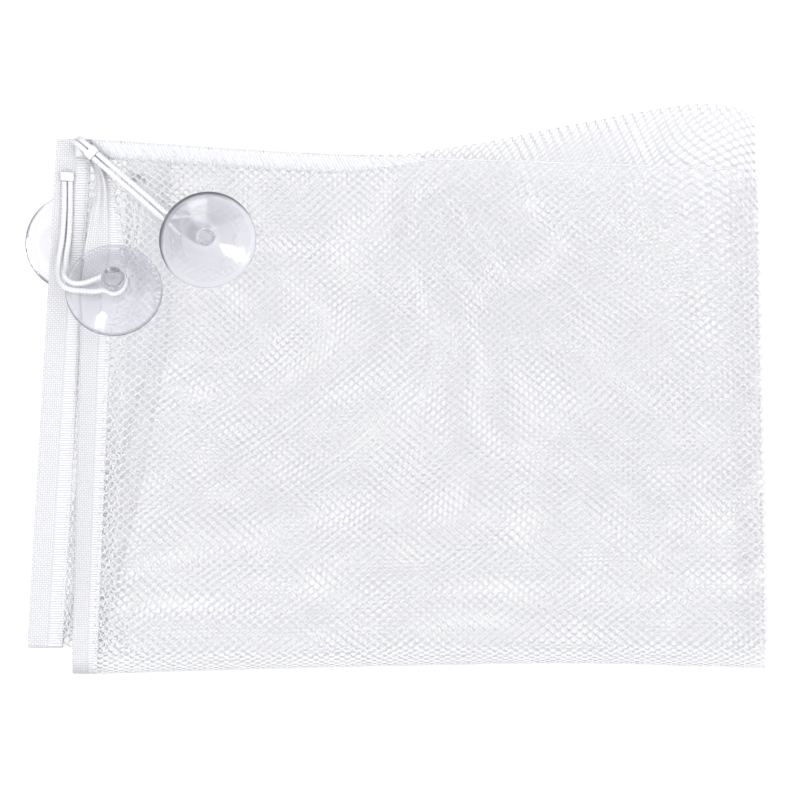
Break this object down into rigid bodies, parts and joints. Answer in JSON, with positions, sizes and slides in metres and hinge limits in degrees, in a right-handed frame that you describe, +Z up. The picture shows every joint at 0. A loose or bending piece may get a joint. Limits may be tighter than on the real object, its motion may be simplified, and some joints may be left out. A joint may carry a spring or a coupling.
{
  "type": "bath toy organizer",
  "caption": "Folded diamond-net bag with woven hem tapes at its mouth, hung by corded clear suction cups to hold and drain bath toys.",
  "frame": {"origin": "middle of the underside of the bag as it lies folded on a flat surface", "axes": "+X along the fold from the mouth towards the closed bottom, +Y from the fold towards the side seam, +Z up"},
  "size_m": [0.3452, 0.2638, 0.0564],
  "materials": {
    "net": "knitted",
    "tape": "woven",
    "seam": "sewn",
    "cord": "braided",
    "cup": "clear"
  },
  "bodies": {
    "lower_half": {"outer_tape_lower": "tape", "inner_tape_lower": "tape", "outer_net_lower": "net", "inner_net_lower": "net", "side_fold_lower": "net", "bottom_seam_lower": "seam", "outer_tape_fold": "tape", "outer_net_fold": "net", "inner_tape_fold": "tape", "inner_net_fold": "net", "cord_tack_3": "seam"},
    "upper_half": {"outer_tape_upper": "tape", "inner_tape_upper": "tape", "outer_net_upper": "net", "inner_net_upper": "net", "side_seam": "seam", "bottom_seam_upper": "seam", "cord_tack_1": "seam", "cord_tack_2": "seam"},
    "first_cord": {"cord_1": "cord"},
    "first_cup": {"suction_cup_1": "cup"},
    "second_cord": {"cord_2": "cord"},
    "second_cup": {"suction_cup_2": "cup"},
    "third_cord": {"cord_3": "cord"},
    "third_cup": {"suction_cup_3": "cup"}
  },
  "joints": [
    {"name": "bag_unfold", "type": "hinge", "parent": "lower_half", "child": "upper_half", "pos_m": [0, -0.1224, 0.0094], "axis": [1, 0, 0], "range_deg": [0, 160], "deforming": ["outer_tape_fold", "outer_net_fold", "inner_tape_fold", "inner_net_fold"]},
    {"name": "cord_1_swing", "type": "hinge", "parent": "upper_half", "child": "first_cord", "pos_m": [-0.13949, 0.10907, 0.03442], "axis": [-0.6534, -0.7559, -0.0411], "range_deg": [0, 150]},
    {"name": "cup_1_swivel", "type": "hinge", "parent": "first_cord", "child": "first_cup", "pos_m": [-0.0868, 0.06961, 0.04932], "axis": [0.1206, -0.1782, 0.9766], "continuous": true},
    {"name": "cord_2_swing", "type": "hinge", "parent": "upper_half", "child": "second_cord", "pos_m": [-0.1523, 0.0974, 0.02637], "axis": [-1, 0, 0], "range_deg": [0, 150]},
    {"name": "cup_2_swivel", "type": "hinge", "parent": "second_cord", "child": "second_cup", "pos_m": [-0.1304, 0.04634, 0.0371], "axis": [0, 0.3401, 0.9404], "continuous": true},
    {"name": "cord_3_swing", "type": "hinge", "parent": "lower_half", "child": "third_cord", "pos_m": [-0.1228, 0.097, 0.0101], "axis": [0, 0, -1], "range_deg": [0, 90]},
    {"name": "cup_3_swivel", "type": "hinge", "parent": "third_cord", "child": "third_cup", "pos_m": [-0.1501, 0.069, 0], "axis": [0, 0, 1], "continuous": true}
  ]
}
